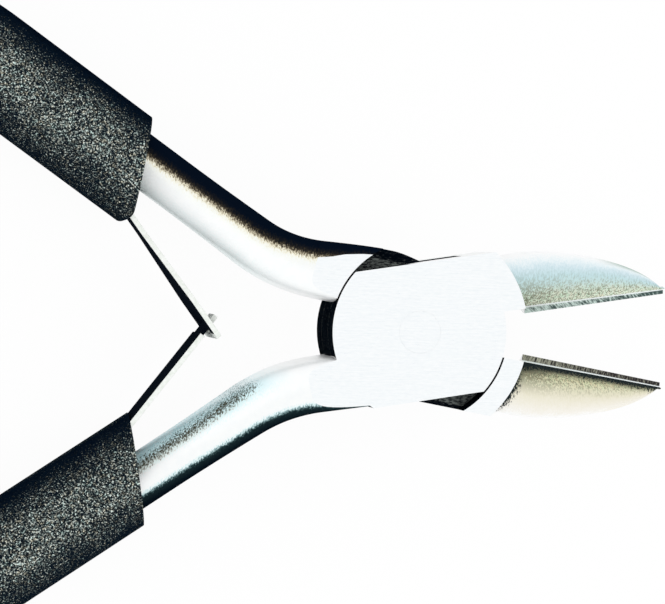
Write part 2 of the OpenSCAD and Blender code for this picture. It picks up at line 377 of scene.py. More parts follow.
class Nodes:
    """The node tree of a material or of the world, with short calls for what they share."""

    def __init__(self, owner):
        owner.use_nodes = True
        self.owner = owner
        self.tree = owner.node_tree

    def add(self, kind, inputs=None, **settings):
        node = self.tree.nodes.new(kind)
        for key, value in settings.items():
            setattr(node, key, value)
        for key, value in (inputs or {}).items():
            self.feed(node, key, value)
        return node

    def feed(self, node, key, value):
        socket = node.inputs[key]
        if isinstance(value, bpy.types.NodeSocket):
            self.tree.links.new(value, socket)
        else:
            socket.default_value = value

    def surface(self, inputs):
        """Sets or links the inputs of the surface shader, and gives the finished material."""
        for key, value in inputs.items():
            self.feed(self.tree.nodes["Principled BSDF"], key, value)
        return self.owner

    def show(self, output, share, a, b):
        """Shows the shader a where share is 0, and b where it is 1."""
        both = self.add("ShaderNodeMixShader", {0: share, 1: a.outputs[0], 2: b.outputs[0]})
        self.feed(self.tree.nodes[output], "Surface", both.outputs[0])

    def stored(self, name):
        """A value that is stored on the mesh, point by point."""
        return self.add("ShaderNodeAttribute", attribute_name=name).outputs["Fac"]

    def coordinates(self, kind):
        return self.add("ShaderNodeTexCoord").outputs[kind]

    def mapped(self, inputs, **settings):
        """Where a point lies, scaled or turned."""
        inputs = {"Vector": self.coordinates("Object"), **inputs}
        return self.add("ShaderNodeMapping", inputs, **settings).outputs["Vector"]

    def place(self, stretch):
        """Where a point lies, in millimetres times stretch."""
        return self.mapped({"Scale": [s / MM for s in stretch]})

    def part(self, vector, axis):
        return self.add("ShaderNodeSeparateXYZ", {"Vector": vector}).outputs[axis]

    def reach(self, vector, way):
        """How far a point lies along way."""
        node = self.add("ShaderNodeVectorMath", {0: vector, 1: way}, operation="DOT_PRODUCT")
        return node.outputs["Value"]

    def rise(self):
        """How much a surface faces up or down, from 0 to 1."""
        return self.math("ABSOLUTE", self.part(self.coordinates("Normal"), "Z"))

    def noise(self, vector, scale=1.0, detail=2.0, roughness=0.5):
        inputs = {"Vector": vector, "Scale": scale, "Detail": detail, "Roughness": roughness}
        return self.add("ShaderNodeTexNoise", inputs).outputs["Fac"]

    def math(self, operation, a, b=0.0, clamp=False):
        node = self.add("ShaderNodeMath", {0: a, 1: b}, operation=operation, use_clamp=clamp)
        return node.outputs[0]

    def plus(self, a, b):
        return self.math("ADD", a, b)

    def minus(self, a, b):
        return self.math("SUBTRACT", a, b)

    def times(self, a, b):
        return self.math("MULTIPLY", a, b)

    def most(self, a, b):
        return self.math("MAXIMUM", a, b)

    def ramp(self, value, stops):
        """A colour by value. Each stop is a position and a colour."""
        node = self.add("ShaderNodeValToRGB", {"Fac": value})
        ends = node.color_ramp.elements
        while len(ends) < len(stops):
            ends.new(HALFWAY)
        for end, (position, colour) in zip(ends, stops):
            end.position = position
            end.color = (*colour, 1)
        return node.outputs["Color"]

    def smooth(self, value, start, end):
        """0 at start, 1 at end and an even curve between them."""
        node = self.add(
            "ShaderNodeMapRange",
            {"Value": value, "From Min": start, "From Max": end},
            interpolation_type="SMOOTHSTEP",
        )
        return node.outputs["Result"]

    def span(self, value, low, high):
        """A value from 0 to 1, spread from low to high."""
        node = self.add("ShaderNodeMapRange", {"Value": value, "To Min": low, "To Max": high})
        return node.outputs["Result"]

    def blend(self, share, a, b):
        """The colour a where share is 0, and b where it is 1."""
        inputs = {MIX_SHARE: share, MIX_A: a, MIX_B: b}
        node = self.add("ShaderNodeMix", inputs, data_type="RGBA")
        return node.outputs[MIX_RESULT]

    def tinted(self, colour, by):
        """One colour times another."""
        inputs = {MIX_SHARE: 1.0, MIX_A: colour, MIX_B: by}
        node = self.add("ShaderNodeMix", inputs, data_type="RGBA", blend_type="MULTIPLY")
        return node.outputs[MIX_RESULT]

    def bump(self, height, strength, distance_mm, edge_mm=0.0):
        """Relief from a height, over edges that are rounded by edge_mm."""
        inputs = {"Height": height, "Strength": strength, "Distance": distance_mm * MM}
        if edge_mm:
            edge = self.add("ShaderNodeBevel", {"Radius": edge_mm * MM}, samples=EDGE_SAMPLES)
            inputs["Normal"] = edge.outputs["Normal"]
        return self.add("ShaderNodeBump", inputs).outputs["Normal"]


def new_material(name):
    return Nodes(bpy.data.materials.new(name))


GROUND_STOPS = [(0.36, (0.9, 0.93, 0.95)), (0.6, (0.97, 0.985, 0.995))]


def ground_steel():
    """The flat ground faces of the joint, with fine lines along the tool."""
    n = new_material("ground_steel")
    lines = n.noise(n.place(GROUND_LINES), detail=3, roughness=0.6)
    specks = n.noise(n.place(GROUND_SPECKS), detail=2, roughness=0.6)
    average = n.times(n.plus(lines, specks), 1 / 2)
    return n.surface(
        {
            "Base Color": n.ramp(average, GROUND_STOPS),
            "Metallic": 1.0,
            "Roughness": n.span(specks, low=0.24, high=0.36),
            "Normal": n.bump(lines, strength=0.12, distance_mm=0.02),
        }
    )


# How far the strokes and the cloud shift the tone of a jaw
STROKE_SHIFT = 0.3
CLOUD_SHIFT = 0.14
# Spans over the depth of a jaw, from 0 at its bevel to 1 at its back
HUES_DEPTH = (0.5, 0.1)
ROOT_DEPTH = (0.6, 0.1)
BACK_DEPTH = (0.8, 0.97)
# Spans over the length of a jaw, from 0 at its root to 1 at its tip
ROOT_LENGTH = (0.3, 0.0)
DENSE_LENGTH = (0.4, 0.0)
TIP_LENGTH = (0.55, 0.8)
# Strokes that are weaker than these show as flecks
FLECK_CUT = (0.52, 0.41)
# How ragged the line along the bevel is, and where it is at its full strength, by its width
LINE_RAGGED = 3.4
LINE_FULL = 0.4
JAW_HUE_STOPS = [(0.38, (1, 0.92, 0.86)), (0.5, (1, 1, 1)), (0.62, (0.9, 1, 0.93))]


def jaw_steel(name, stops, fleck, fleck_to, root_shadow_flecks, line, line_mm, tip_back_shade):
    """The sanded front of a jaw, toned by its depth as painted shading and reflection of its slope.
    Dark flecks from the strokes of the belt paint shade towards its edge, and denser ones paint the
    shadow of the step at its root.
    """
    n = new_material(name)
    strokes = n.noise(n.place(JAW_STROKES), detail=3, roughness=0.75)
    cloud = n.noise(n.place(JAW_CLOUD), detail=2, roughness=0.6)
    swing = n.minus(strokes, NOISE_MIDDLE)
    deep = n.stored("jaw_depth")
    below = n.stored("jaw_below")
    out = n.stored("jaw_along")
    drift = n.times(n.minus(cloud, NOISE_MIDDLE), CLOUD_SHIFT)
    shift = n.plus(n.times(swing, STROKE_SHIFT), drift)
    # Tone by depth, from the bevel to the back, is painted shading and reflection of the slope
    base = n.ramp(n.plus(deep, shift), stops)
    hues = n.ramp(n.noise(n.place(JAW_HUES), detail=2, roughness=0.7), JAW_HUE_STOPS)
    base = n.tinted(base, n.blend(n.smooth(deep, *HUES_DEPTH), WHITE, hues))

    # Flecks up to the depth fleck_to as painted shade, and denser at the root as painted shadow
    root = n.times(n.smooth(out, *ROOT_LENGTH), n.smooth(deep, *ROOT_DEPTH))
    flecked = n.most(n.smooth(deep, fleck_to, 0.0), root)
    denser = n.times(n.smooth(out, *DENSE_LENGTH), root_shadow_flecks)
    flecks = n.smooth(n.minus(strokes, denser), *FLECK_CUT)
    toned = n.blend(n.times(flecks, flecked), base, fleck)

    # Ragged line along the bevel, painted shade on the neck half's jaw and a painted highlight on
    # the box half's
    ragged = n.minus(below, n.times(swing, LINE_RAGGED * line_mm))
    toned = n.blend(n.smooth(ragged, line_mm, line_mm * LINE_FULL), toned, line)

    # Painted shade along the back of the tip
    back = n.times(n.smooth(deep, *BACK_DEPTH), n.smooth(out, *TIP_LENGTH))
    return n.surface(
        {
            "Base Color": n.blend(back, toned, tip_back_shade),
            "Metallic": 0.2,
            "Specular IOR Level": 0.0,
            "Roughness": n.span(cloud, low=0.4, high=0.55),
            "Normal": n.bump(strokes, strength=0.25, distance_mm=0.04, edge_mm=0.08),
        }
    )


# Size of a mark that the stone leaves: across it, along it and up
MARK_SIZE = (0.13, 0.8, 0.8)
# Tones between which a mark goes from dark to pale
MARK_DARK = 0.36
MARK_PALE = 0.62
# The painted highlight along the rim, by the share of the strip's width
RIM_SPAN = (0.74, 0.88)
RIM_HIGHLIGHT = (0.95, 1, 1, 1)


def bevel_steel(name, dark, pale, paler_root, darker_out, turned_by):
    """The sharpened strips: slanting marks from the stone, darker to the tip, and a bright rim that
    is a painted highlight. Each strip's tones are painted reflection, pale on the box half and dark
    on the neck half.
    """
    n = new_material(name)
    slanting = {
        "Rotation": (0, 0, math.radians(turned_by)),
        "Scale": [c * MM for c in MARK_SIZE],
    }
    marks = n.noise(n.mapped(slanting, vector_type="TEXTURE"), detail=2, roughness=0.6)
    lit = n.plus(marks, paler_root)
    tone = n.minus(lit, n.times(n.stored("jaw_along"), darker_out))
    base = n.ramp(tone, [(MARK_DARK, dark), (MARK_PALE, pale)])
    return n.surface(
        {
            "Base Color": n.blend(n.smooth(n.stored("strip"), *RIM_SPAN), base, RIM_HIGHLIGHT),
            "Metallic": 0.3,
            "Specular IOR Level": 0.0,
            "Roughness": 0.35,
            "Normal": n.bump(marks, strength=0.3, distance_mm=0.03),
        }
    )


BRIGHT_STOPS = [(0.3, (0.95, 0.965, 0.97)), (0.7, (0.99, 0.995, 0.99))]
# Spans across a handle, in half widths from its middle, positive on its outer side
PALE_REFLECTION_RIM = (-1.18, -0.86)
BEIGE_ACROSS = (-0.8, -0.4)
SATIN_INNER = (0.1, -0.3)
SATIN_RIM = (-1.03, -0.94)
DARK_REFLECTION_DULL = (-0.12, 0.06)
# Spans along a handle, from 0 at the joint to 1 at the grip
PALE_REFLECTION_OUTWARD = (0.42, 0.62)
SATIN_OUTWARD = (0.3, 0.5)
# How far the grain moves the edge of the painted pale reflection across the handle
PALE_REFLECTION_RAGGED = 0.9
# The painted pale reflection is broken up by spots of this colour, where the grain is weak
SPOT_SHARE = 0.6
SPOT_CUT = (0.52, 0.4)
SPOT_COLOUR = (0.8, 0.92, 0.93, 1)
# Dark specks show where the grain, lifted by the streak, is stronger than this
SPECK_LIFT = 0.2
SPECK_CUT = (0.54, 0.72)
SPECK_STREAK = (0.0, 0.4)
SPECK_COLOUR = (0.07, 0.07, 0.05, 1)
BEIGE = (0.78, 0.76, 0.64, 1)
# The stops of the painted dark reflection are drawn round this tone
DARK_REFLECTION_EDGE = 0.5


def handle_steel(name, dark_reflection_stops, dark_reflection_ragged, pale_reflection_span, bright_rim, pale_reflection_colour):
    """Sanded bright steel, with a painted dark reflection along the outer side of a handle, a
    painted pale reflection along its inner side, and on the box half a streak of painted dark
    reflection.
    """
    n = new_material(name)
    grain = n.noise(n.place(HANDLE_GRAIN), detail=3, roughness=0.75)
    swing = n.minus(grain, NOISE_MIDDLE)
    cloud = n.noise(n.place(HANDLE_CLOUD), detail=3, roughness=0.6)
    bright = n.ramp(cloud, BRIGHT_STOPS)

    # Painted pale reflection along the inner side, as a tinted haze
    across = n.stored("across")
    outward = n.stored("outward")
    spread = n.plus(across, n.times(swing, PALE_REFLECTION_RAGGED))
    pale_reflection = n.times(n.smooth(spread, *pale_reflection_span), n.smooth(outward, *PALE_REFLECTION_OUTWARD))
    if bright_rim:
        pale_reflection = n.times(pale_reflection, n.smooth(spread, *PALE_REFLECTION_RIM))
    spots = n.times(pale_reflection, n.smooth(grain, *SPOT_CUT))
    toned = n.blend(pale_reflection, bright, pale_reflection_colour)
    toned = n.blend(n.times(spots, SPOT_SHARE), toned, SPOT_COLOUR)

    # Painted dark reflection, as a streak of dark specks over a beige band
    reflection_streak = n.stored("reflection_streak")
    reach = n.plus(grain, n.times(reflection_streak, SPECK_LIFT))
    specks = n.times(n.smooth(reach, *SPECK_CUT), n.smooth(reflection_streak, *SPECK_STREAK))
    toned = n.blend(n.times(n.smooth(spread, *BEIGE_ACROSS), reflection_streak), toned, BEIGE)
    toned = n.blend(specks, toned, SPECK_COLOUR)

    # Painted dark reflection along the outer side, with a ragged edge
    ragged = n.plus(n.stored("dark_reflection"), n.times(swing, dark_reflection_ragged))
    tint = n.ramp(n.plus(ragged, DARK_REFLECTION_EDGE), dark_reflection_stops)

    # Satin along the inner side, where bright steel would mirror the other handle
    satin = n.times(n.smooth(across, *SATIN_INNER), n.smooth(across, *SATIN_RIM))
    satin = n.times(satin, n.smooth(outward, *SATIN_OUTWARD))
    dull = n.most(n.most(n.smooth(ragged, *DARK_REFLECTION_DULL), specks), satin)
    return n.surface(
        {
            "Base Color": n.tinted(toned, tint),
            "Metallic": n.minus(1.0, dull),
            "Specular IOR Level": 0.0,
            "Roughness": n.span(cloud, low=0.34, high=0.5),
            "Normal": n.bump(grain, strength=0.3, distance_mm=0.03, edge_mm=0.15),
        }
    )


DARK_STOPS = [
    (0.5, (0.001, 0.003, 0.006)),
    (0.62, (0.012, 0.014, 0.018)),
    (0.8, (0.19, 0.21, 0.2)),
]
# Faces are painted lighter as light from this rise to this one
FLAT_RISE = (0.6, 0.95)
# The painted light on flat faces fades between these distances from the plate's middle line
LIT_END = JOINT_W / 2 - 0.1
LIT_FULL = JOINT_W / 2 - 0.6
LIT_LIFT = 0.2


def painted_shade_steel():
    """Faces inside the joint, painted dark as shade, and painted lighter grey as light where they
    lie flat.
    """
    n = new_material("painted_shade_steel")
    grain = n.noise(n.place(DARK_GRAIN), detail=4, roughness=0.7)
    flat = n.smooth(n.rise(), *FLAT_RISE)

    # The painted light stops short of the plate's straight side, which stays dark as painted shade
    off = n.part(n.mapped({"Rotation": (0, 0, math.radians(HALF_OPEN))}), "Y")
    off_mm = n.times(n.math("ABSOLUTE", off), 1 / MM)
    brightened = n.times(flat, n.smooth(off_mm, LIT_END, LIT_FULL))
    return n.surface(
        {
            "Base Color": n.ramp(n.plus(grain, n.times(brightened, LIT_LIFT)), DARK_STOPS),
            "Specular IOR Level": 0.0,
            "Roughness": 0.8,
            "Normal": n.bump(grain, strength=0.4, distance_mm=0.04),
        }
    )


# Near-black faces, as painted shade
FACE_SHADE_STOPS = [(0.3, (0.002, 0.004, 0.009)), (0.7, (0.008, 0.011, 0.016))]
SHEARED_STOPS = [(0.3, (0.82, 0.86, 0.8)), (0.7, (0.99, 1, 0.98))]
EDGE_RISE = (0.4, 0.75)
# Near the crossing only edges this far off the middle height are bright
OUTER_EDGE = (1.9, 2.0)
# The crossing starts between these distances before the pale part
STEM_FROM = 4
STEM_TO = 5
PALE_FADE = 0.1


def spring_steel(name, pale_from, way):
    """Strip whose faces are painted near-black as shade, with pale sheared edges where it faces up,
    and pale past a given distance along way.
    """
    n = new_material(name)
    edge = n.smooth(n.rise(), *EDGE_RISE)
    at = n.place((1, 1, 1))
    off_middle = n.math("ABSOLUTE", n.minus(n.part(at, "Z"), MID_Z))
    past = n.reach(at, way)
    stem = n.smooth(past, pale_from - STEM_FROM, pale_from - STEM_TO)
    sheared = n.most(n.smooth(off_middle, *OUTER_EDGE), stem)
    brightened = n.smooth(past, pale_from - PALE_FADE, pale_from + PALE_FADE)
    bright = n.most(n.times(edge, sheared), brightened)
    grain = n.noise(n.place(SPRING_GRAIN), detail=3, roughness=0.6)
    face = n.ramp(grain, FACE_SHADE_STOPS)
    return n.surface(
        {
            "Base Color": n.blend(bright, face, n.ramp(grain, SHEARED_STOPS)),
            "Metallic": n.math("SUBTRACT", bright, brightened, clamp=True),
            "Specular IOR Level": 0.0,
            "Roughness": 0.4,
            "Normal": n.bump(grain, strength=0.15, distance_mm=0.02, edge_mm=0.06),
        }
    )


SCREW_STOPS = [(0.3, (0.06, 0.065, 0.07)), (0.7, (0.16, 0.165, 0.175))]


def screw_steel():
    n = new_material("screw_steel")
    grain = n.noise(n.place(SCREW_GRAIN), detail=3)
    return n.surface(
        {
            "Base Color": n.ramp(grain, SCREW_STOPS),
            "Metallic": 1.0,
            "Roughness": 0.38,
            "Normal": n.bump(grain, strength=0.2, distance_mm=0.02, edge_mm=0.08),
        }
    )


FOAM_STOPS = [
    (0.1, (0.001, 0.003, 0.008)),
    (0.3, (0.002, 0.006, 0.014)),
    (0.42, (0.004, 0.008, 0.014)),
    (0.5, (0.03, 0.036, 0.037)),
    (0.58, (0.26, 0.295, 0.275)),
    (0.66, (0.9, 0.97, 0.91)),
]
FOAM_HUE_STOPS = [(0.36, (0.84, 1, 1)), (0.5, (1, 1, 1)), (0.64, (1, 0.88, 0.74))]
# How much the painted shading and the broad patches move the tone
PAINTED_LIGHT_SHIFT = 0.3
PATCH_SHIFT = 0.1
PORE_HEIGHT = 0.5


def foam():
    """Charcoal foam with open pores and pale flecks, whose density follows painted shading across
    the grip.
    """
    n = new_material("foam")
    at = n.place((1, 1, 1))
    fine = n.noise(at, scale=FOAM_GRAIN, detail=2, roughness=0.75)
    pores = n.add("ShaderNodeTexVoronoi", {"Vector": at, "Scale": FOAM_PORES, "Randomness": 1.0})
    broad = n.noise(at, scale=FOAM_PATCHES, detail=2)
    # Painted shading across the grip moves the tone
    lift = n.times(n.minus(n.stored("painted_light"), 1.0), PAINTED_LIGHT_SHIFT)
    patch = n.times(n.minus(broad, NOISE_MIDDLE), PATCH_SHIFT)
    base = n.ramp(n.plus(n.plus(fine, lift), patch), FOAM_STOPS)
    hues = n.ramp(n.noise(at, scale=FOAM_HUES, detail=2, roughness=0.7), FOAM_HUE_STOPS)
    height = n.plus(fine, n.times(pores.outputs["Distance"], PORE_HEIGHT))
    return n.surface(
        {
            "Base Color": n.tinted(base, hues),
            "Roughness": 0.95,
            "Specular IOR Level": 0.0,
            "Normal": n.bump(height, strength=0.6, distance_mm=0.1),
        }
    )


# Steel halves

GROUND, JAW, BEVEL, HANDLE, DARK = range(5)
# Stops of the painted dark reflection along a handle's outer side, with a warm fringe on the neck
# half and a teal one on the box half
WARM_DARK_REFLECTION = [
    (0.0, (1, 1, 1)),
    (0.24, (1, 1, 0.97)),
    (0.34, (0.98, 0.97, 0.89)),
    (0.44, (0.92, 0.86, 0.68)),
    (0.52, (0.4, 0.34, 0.24)),
    (0.6, (0.06, 0.048, 0.032)),
    (0.72, (0.011, 0.011, 0.012)),
    (0.9, (0.002, 0.005, 0.012)),
]
TEAL_DARK_REFLECTION = [
    (0.0, (1, 1, 1)),
    (0.36, (1, 1, 1)),
    (0.45, (0.76, 0.92, 0.93)),
    (0.51, (0.25, 0.38, 0.4)),
    (0.56, (0.03, 0.06, 0.065)),
    (0.63, (0.008, 0.018, 0.022)),
    (0.9, (0.002, 0.005, 0.009)),
]
# Each handle gets the stops and ragged edge of its painted dark reflection, and the span and colour
# of its painted pale reflection
NECK_HANDLE = handle_steel(
    "neck_handle_steel",
    WARM_DARK_REFLECTION,
    dark_reflection_ragged=0.7,
    pale_reflection_span=(-0.5, -1.2),
    bright_rim=False,
    pale_reflection_colour=(0.92, 1, 1, 1),
)
BOX_HANDLE = handle_steel(
    "box_handle_steel",
    TEAL_DARK_REFLECTION,
    dark_reflection_ragged=0.48,
    pale_reflection_span=(-0.2, -0.75),
    bright_rim=True,
    pale_reflection_colour=(0.62, 0.94, 1, 1),
)
# The box half's jaw is toned bluish and the neck half's cream, both as painted shading and
# reflection. The box half's bevel line is a painted highlight and the neck half's is painted shade
BOX_JAW = jaw_steel(
    "box_jaw_steel",
    [
        (0.0, (0.92, 0.99, 0.82)),
        (0.2, (0.78, 0.87, 0.74)),
        (0.4, (0.6, 0.77, 0.76)),
        (0.55, (0.56, 0.74, 0.77)),
        (0.7, (0.66, 0.8, 0.85)),
        (0.84, (0.86, 0.93, 0.95)),
        (0.96, (1, 1, 1)),
    ],
    fleck=(0.2, 0.21, 0.14, 1),
    fleck_to=0.8,
    root_shadow_flecks=0.06,
    line=(0.95, 1, 1, 1),
    line_mm=0.05,
    tip_back_shade=(0.46, 0.58, 0.53, 1),
)
NECK_JAW = jaw_steel(
    "neck_jaw_steel",
    [
        (0.0, (0.72, 0.71, 0.47)),
        (0.2, (0.74, 0.72, 0.48)),
        (0.33, (0.78, 0.76, 0.55)),
        (0.52, (0.81, 0.77, 0.61)),
        (0.7, (0.87, 0.83, 0.72)),
        (0.88, (0.93, 0.9, 0.84)),
        (1.0, (1, 1, 1)),
    ],
    fleck=(0.1, 0.1, 0.07, 1),
    fleck_to=0.64,
    root_shadow_flecks=0.13,
    line=(0.01, 0.018, 0.02, 1),
    line_mm=0.75,
    tip_back_shade=(0.93, 0.9, 0.8, 1),
)
# The pale tones of the box half's strip and the dark ones of the neck half's are painted reflection
BOX_BEVEL = bevel_steel(
    "box_bevel_steel",
    dark=(0.06, 0.095, 0.09),
    pale=(0.72, 0.86, 0.81),
    paler_root=0.09,
    darker_out=0.24,
    turned_by=52,
)
NECK_BEVEL = bevel_steel(
    "neck_bevel_steel",
    dark=(0.038, 0.034, 0.034),
    pale=(0.46, 0.46, 0.37),
    paler_root=0.04,
    darker_out=0.25,
    turned_by=-30,
)
HALF_SLOTS = [ground_steel(), NECK_JAW, NECK_BEVEL, NECK_HANDLE, painted_shade_steel()]


def jaw_depth(x):
    u = max(0, (x - BELLY_X) / (JAW_L - BELLY_X))
    return max(TIP_H, JAW_H * max(0, 1 - u**BACK_CURVE) ** (1 / BACK_CURVE))


def taper(x):
    """How far the jaw has run out to its tip at x, from 0 to 1."""
    out = max(0, (x - CHEEK_R) / (JAW_L - CHEEK_R))
    return mix(ease(out), out, SLOPE)


def bevel_width(x):
    return mix(BEVEL_W, BEVEL_TIP_W, taper(x))


def jaw_ring(x):
    """One section of a jaw: edge, bevel, hollow front, rounded back and flat rear."""
    t = taper(x)
    h = jaw_depth(x)
    low = mix(0, MID_Z - TIP_T / 2, t)
    top = mix(JOINT_T - CROWN_DROP, MID_Z + TIP_T / 2, t)
    side = mix(low, top, SIDE)
    bevel = bevel_width(x)
    edge_z = mix(EDGE_Z, EDGE_TIP_Z, t)
    bevel_top = edge_z + BEVEL_RISE * bevel / BEVEL_W
    crown = max(bevel * BEVEL_CROWN, h * CROWN)
    e = 2 / FRONT_CURVE
    points = [(x, h * HEEL, low), (x, EDGE_GAP, edge_z)]
    for i in range(JAW_FRONT_STEPS + 1):
        a = 90 * i / JAW_FRONT_STEPS
        points.append((x, mix(crown, bevel, cos(a) ** e), mix(bevel_top, top, sin(a) ** e)))
    for i in range(1, JAW_BACK_STEPS + 1):
        a = 90 * i / JAW_BACK_STEPS
        points.append((x, mix(crown, h, sin(a)), mix(side, top, cos(a))))
    for i in range(1, JAW_BACK_STEPS + 1):
        a = 90 * i / JAW_BACK_STEPS
        points.append((x, mix(crown, h, cos(a)), mix(side, low, sin(a))))
    return [(px - TIP_LEAN * t * max(0, pz - edge_z), py, pz) for px, py, pz in points]


def jaw():
    stations = []
    for i in range(JAW_STEPS + 1):
        out = sin(90 * i / JAW_STEPS)
        stations.append(CHEEK_R - OVER + (JAW_L - CHEEK_R + OVER) * out)

    def finish(j):
        if j == 0:
            return HANDLE
        if j == 1:
            return BEVEL
        return JAW if j < 2 + JAW_FRONT_STEPS + JAW_BACK_STEPS else HANDLE

    return loft("jaw", [jaw_ring(x) for x in stations], HALF_SLOTS, finish)


def swelling(s, swell):
    """How far a handle swells past its width at the length s, on its outer side."""
    return swell * ease(s / SWELL_S) * (1 - ease((s - SWELL_S) / (SPLAY_S - SWELL_S)))


def handle(grow=0.0, swell=0.0):
    """A handle drawn shut, from the joint to its end, grown all round by grow."""
    stations = [*np.linspace(0, MOUTH_S, HANDLE_STEPS)]
    stations += [*np.linspace(MOUTH_S, HANDLE_S, GRIPPED_STEPS)][1:]
    rings = []
    for s in stations:
        t = ease(s / (MOUTH_S * SETTLE))
        out = swelling(s, swell / 2)
        w = mix(ROOT_W, HANDLE_W, t) / 2 + grow + out
        thick = mix(FORGED_T, HANDLE_T, t) / 2 + grow
        square = mix(ROOT_SQUARE, GRIP_SQUARE, math.sqrt(t))
        rings.append(ring(s, w, thick, square, HANDLE_SIDES, out))
    return loft("handle", rings, HALF_SLOTS, lambda j: HANDLE)


# How far the slab between the two ground faces reaches past a half
SLAB_PAST = 9


def blank(swell, root_lean):
    """What both halves share, drawn shut: handle to -X -Y, jaw to +X +Y."""
    made = place(handle(swell=swell), mirrored=True)
    combine(made, jaw(), "UNION")
    slab = box_outline(-HANDLE_L - SLAB_PAST, -HANDLE_L, JAW_L + SLAB_PAST, HANDLE_L)
    combine(made, prism("slab", slab, 0, JOINT_T, HALF_SLOTS, DARK, GROUND), "INTERSECT")
    root = box_outline(CHEEK_R - 2 * OVER, -OVER, EDGE_X, ROOT_GAP)
    notch = prism("root", root, -OVER, JOINT_T + OVER, HALF_SLOTS, HANDLE, HANDLE)
    for v in notch.data.vertices:
        v.co.x += root_lean * (EDGE_Z * MM - v.co.z)
    combine(made, notch, "DIFFERENCE")
    outline = band(FLAT_R, ROOT_GAP, JOINT_W / 2, 0)
    flat = prism("flat", outline, 0, JOINT_T, HALF_SLOTS, HANDLE, GROUND)
    return combine(made, flat, "UNION")


# Where the painted dark reflection starts across a handle, in half widths, from the joint to the
# grip
BOX_DARK_REFLECTION = ((0, 1.1), (0.24, 0.96), (0.33, 0.8), (0.42, 0.64), (0.6, 0.5), (1, 0.41))
NECK_DARK_REFLECTION = ((0, 0.8), (0.25, 0.74), (0.38, 0.5), (0.5, 0.35), (0.62, 0.16), (1, 0.1))
# Middle and half width of the streak of painted dark reflection on the box half's handle
STREAK_MIDDLE = ((0.5, -0.86), (0.62, -0.77), (0.8, -0.66), (1, -0.58))
STREAK_W = 0.34
# Where the streak starts along the handle, and how soon it is at its full strength
STREAK_FROM = 0.5
STREAK_RISE = 0.1
# How much wider the dark line of the neck half's jaw is at its root, where it paints the shadow of
# the step, and how far out it is wider
ROOT_WIDER = 0.5
ROOT_REACH = 2.5
# Share of the distance from the root that counts as depth for that line
ROOT_SHARE = 0.9

TAGS = ("across", "outward", "dark_reflection", "reflection_streak", "strip", "jaw_below", "jaw_depth", "jaw_along")


def read_off(table, at):
    return float(np.interp(at, [row[0] for row in table], [row[1] for row in table]))


def shut_points(made, mirrored):
    """Each point as it was drawn shut, with the handle at +Y and the jaw at -Y."""
    for v in made.data.vertices:
        x, y = turn((v.co.x / MM, v.co.y / MM), HALF_OPEN if mirrored else -HALF_OPEN)
        yield x, y if mirrored else -y


def lie_on_line(made, mirrored):
    """Each point's length along its handle's middle line, and how far it is off that line."""
    stations = np.linspace(0, HANDLE_S, LINE_STEPS)
    line = np.array([along(s) for s in stations])
    heading = np.radians(line[:, 2])
    for x, y in shut_points(made, mirrored):
        i = int(np.argmin((line[:, 0] - x) ** 2 + (line[:, 1] - y) ** 2))
        off_x = (x - line[i, 0]) * math.sin(heading[i])
        off_y = (y - line[i, 1]) * math.cos(heading[i])
        yield stations[i], off_x + off_y


def tag(made, mirrored):
    """Stores where each point lies on its handle or jaw, for the finishes."""
    stored = {name: [] for name in TAGS}
    dark_reflection = NECK_DARK_REFLECTION if mirrored else BOX_DARK_REFLECTION
    for (x, y), (s, d) in zip(shut_points(made, mirrored), lie_on_line(made, mirrored)):
        on_handle = x < 0
        across = d / (HANDLE_W / 2) if on_handle else -1.0
        outward = min(1.0, s / MOUTH_S)
        reflection_streak = 0.0
        # Streak of painted dark reflection on the box half's handle
        if on_handle and not mirrored:
            off = abs(across - read_off(STREAK_MIDDLE, outward)) / STREAK_W
            reflection_streak = max(0.0, 1 - off) * ease((outward - STREAK_FROM) / STREAK_RISE)
        bevel = bevel_width(x)
        below = -y - bevel
        from_root = math.hypot(x, y) - FLAT_R
        line_depth = below
        # On the neck half the dark line widens at the root, as painted shadow of the step
        if mirrored:
            wider = ROOT_WIDER * max(0.0, 1 - from_root / ROOT_REACH)
            line_depth = min(below - wider, ROOT_SHARE * from_root)
        stored["across"].append(across)
        stored["outward"].append(outward)
        # Painted dark reflection, by how far a point lies past where it starts across the handle
        stored["dark_reflection"].append(across - read_off(dark_reflection, outward) if on_handle else -1.0)
        stored["reflection_streak"].append(reflection_streak)
        stored["strip"].append(-y / bevel)
        stored["jaw_below"].append(line_depth)
        stored["jaw_depth"].append(clamp(below / (jaw_depth(x) - bevel)) if x > 0 else 1.0)
        stored["jaw_along"].append(clamp(from_root / (JAW_L - FLAT_R)))
    for name, values in stored.items():
        store(made, name, values)


def store(made, name, values):
    attribute = made.data.attributes.new(name, "FLOAT", "POINT")
    attribute.data.foreach_set("value", values)


def bore_pin(made):
    outline = circle(PIN_R + PIN_GAP)
    bore = prism("bore", outline, -OVER, JOINT_T + OVER, HALF_SLOTS, GROUND, GROUND)
    combine(made, bore, "DIFFERENCE")


def box_half():
    made = blank(0, 0)
    cheeks = prism("cheeks", band(CHEEK_R), 0, JOINT_T, HALF_SLOTS, DARK, GROUND)
    combine(made, cheeks, "UNION")
    outline = circle(CHEEK_R + SHOULDER_GAP)
    hollow = prism("hollow", outline, CHEEK_T, JOINT_T - CHEEK_T, HALF_SLOTS, DARK, DARK)
    combine(made, hollow, "DIFFERENCE")
    bore_pin(made)
    made.name = "box_side_forging"
    for slot, finish in ((HANDLE, BOX_HANDLE), (JAW, BOX_JAW), (BEVEL, BOX_BEVEL)):
        made.data.materials[slot] = finish
    place(made, HALF_OPEN)
    tag(made, mirrored=False)
    return smooth_by_angle(made)


